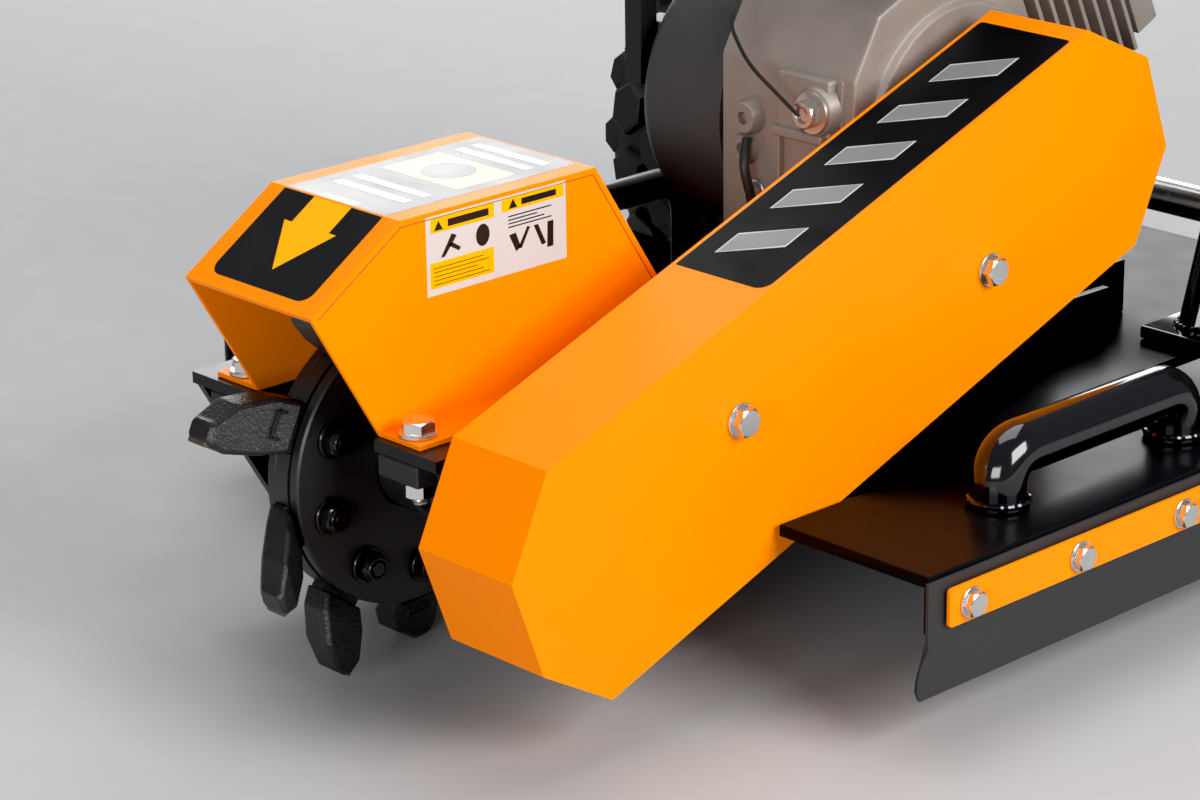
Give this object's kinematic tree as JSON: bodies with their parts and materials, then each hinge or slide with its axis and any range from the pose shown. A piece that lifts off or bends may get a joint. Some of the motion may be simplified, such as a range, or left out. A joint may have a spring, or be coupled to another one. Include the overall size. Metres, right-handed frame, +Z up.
{
  "type": "stump grinder",
  "caption": "Walk-behind petrol stump grinder: toothed cutter wheel under a folded hood, long belt guard, engine, deck with chip flaps, knobby tyres and a handlebar.",
  "frame": {"origin": "on the ground, under the middle of the machine's bounding box", "axes": "+X to the operator's left, the belt guard's side; +Y from the cutter to the handlebar; +Z up"},
  "size_m": [0.732, 1.8486, 1.0667],
  "materials": {
    "orange_paint": "smooth gloss orange powder coat with a fine orange-peel texture",
    "black_paint": "gloss black paint, scuffed on edges",
    "black_tube": "gloss black paint on tube",
    "cast_iron": "black painted rough casting",
    "forged_steel": "black forged steel with a grainy forged skin",
    "zinc_steel": "bright zinc plate",
    "cast_aluminium": "sand-blasted die casting",
    "grey_sheet": "dark grey satin paint on pressed sheet",
    "black_rubber": "matt black rubber",
    "tyre_rubber": "matt black tyre rubber",
    "black_plastic": "textured black plastic",
    "exhaust_black": "heat-proof matt black"
  },
  "bodies": {
    "chassis": {"cutter_hood": "orange_paint", "belt_guard": "orange_paint", "guard_back_plate": "orange_paint", "left_flap_strip": "orange_paint", "right_flap_strip": "orange_paint", "left_side_rail": "black_paint", "right_side_rail": "black_paint", "cross_member": "black_paint", "deck_plate": "black_paint", "left_engine_rail": "black_paint", "right_engine_rail": "black_paint", "left_axle_bracket": "black_paint", "right_axle_bracket": "black_paint", "handlebar": "black_tube", "left_lift_hoop": "black_tube", "right_lift_hoop": "black_tube", "right_frame_hoop": "black_tube", "left_bearing_block": "cast_iron", "right_bearing_block": "cast_iron", "left_front_hood_bolt": "zinc_steel", "left_rear_hood_bolt": "zinc_steel", "right_front_hood_bolt": "zinc_steel", "right_rear_hood_bolt": "zinc_steel", "guard_front_bolt": "zinc_steel", "guard_rear_bolt": "zinc_steel", "wheel_axle": "zinc_steel", "crankcase": "cast_aluminium", "cylinder": "cast_aluminium", "fan_shroud": "grey_sheet", "recoil_housing": "grey_sheet", "drive_belt": "black_rubber", "left_chip_flap": "black_rubber", "right_chip_flap": "black_rubber", "left_grip": "black_rubber", "right_grip": "black_rubber", "fuel_tank": "black_plastic", "air_filter": "black_plastic", "muffler": "exhaust_black"},
    "cutter": {"cutter_rotor": "forged_steel", "left_cutter_plate": "black_paint", "right_cutter_plate": "black_paint", "cutter_tooth_1": "forged_steel", "cutter_tooth_2": "forged_steel", "cutter_tooth_3": "forged_steel", "cutter_tooth_4": "forged_steel", "cutter_tooth_5": "forged_steel", "cutter_tooth_6": "forged_steel", "cutter_tooth_7": "forged_steel", "cutter_tooth_8": "forged_steel", "cutter_tooth_9": "forged_steel", "cutter_pulley": "cast_iron"},
    "clutch": {"clutch_pulley": "cast_iron"},
    "left_wheel": {"left_tyre": "tyre_rubber", "left_rim": "black_paint"},
    "right_wheel": {"right_tyre": "tyre_rubber", "right_rim": "black_paint"},
    "throttle": {"throttle_lever": "black_plastic"},
    "bail": {"stop_bail": "black_paint"},
    "cap": {"fuel_cap": "black_plastic"},
    "starter_handle": {"recoil_handle": "black_plastic"}
  },
  "joints": [
    {"name": "cutter_spin", "type": "hinge", "parent": "chassis", "child": "cutter", "pos_m": [0, -0.78674, 0.13938], "axis": [1, 0, 0], "continuous": true},
    {"name": "clutch_spin", "type": "hinge", "parent": "chassis", "child": "clutch", "pos_m": [0, -0.37474, 0.28838], "axis": [1, 0, 0], "continuous": true},
    {"name": "left_wheel_spin", "type": "hinge", "parent": "chassis", "child": "left_wheel", "pos_m": [0.2935, -0.09974, 0.1775], "axis": [1, 0, 0], "continuous": true},
    {"name": "right_wheel_spin", "type": "hinge", "parent": "chassis", "child": "right_wheel", "pos_m": [-0.2935, -0.09974, 0.1775], "axis": [1, 0, 0], "continuous": true},
    {"name": "throttle_turn", "type": "hinge", "parent": "chassis", "child": "throttle", "pos_m": [-0.18, 0.61326, 0.92838], "axis": [1, 0, 0], "range_deg": [0, 45]},
    {"name": "bail_squeeze", "type": "hinge", "parent": "chassis", "child": "bail", "pos_m": [0, 0.80326, 0.98938], "axis": [1, 0, 0], "range_deg": [-40, 0], "stiffness_Nm_per_rad": 1.5, "springref_deg": 22.92},
    {"name": "fuel_cap_turn", "type": "hinge", "parent": "chassis", "child": "cap", "pos_m": [-0.02, -0.36674, 0.56938], "axis": [0, 0, 1], "continuous": true},
    {"name": "starter_pull", "type": "slide", "parent": "chassis", "child": "starter_handle", "axis": [0, -1, 0], "range_m": [0, 0.45], "stiffness_N_per_m": 10, "springref_m": -0.2}
  ],
  "couplings": [
    {"joint": "clutch_spin", "follows": "cutter_spin", "ratio": 1.1273}
  ]
}
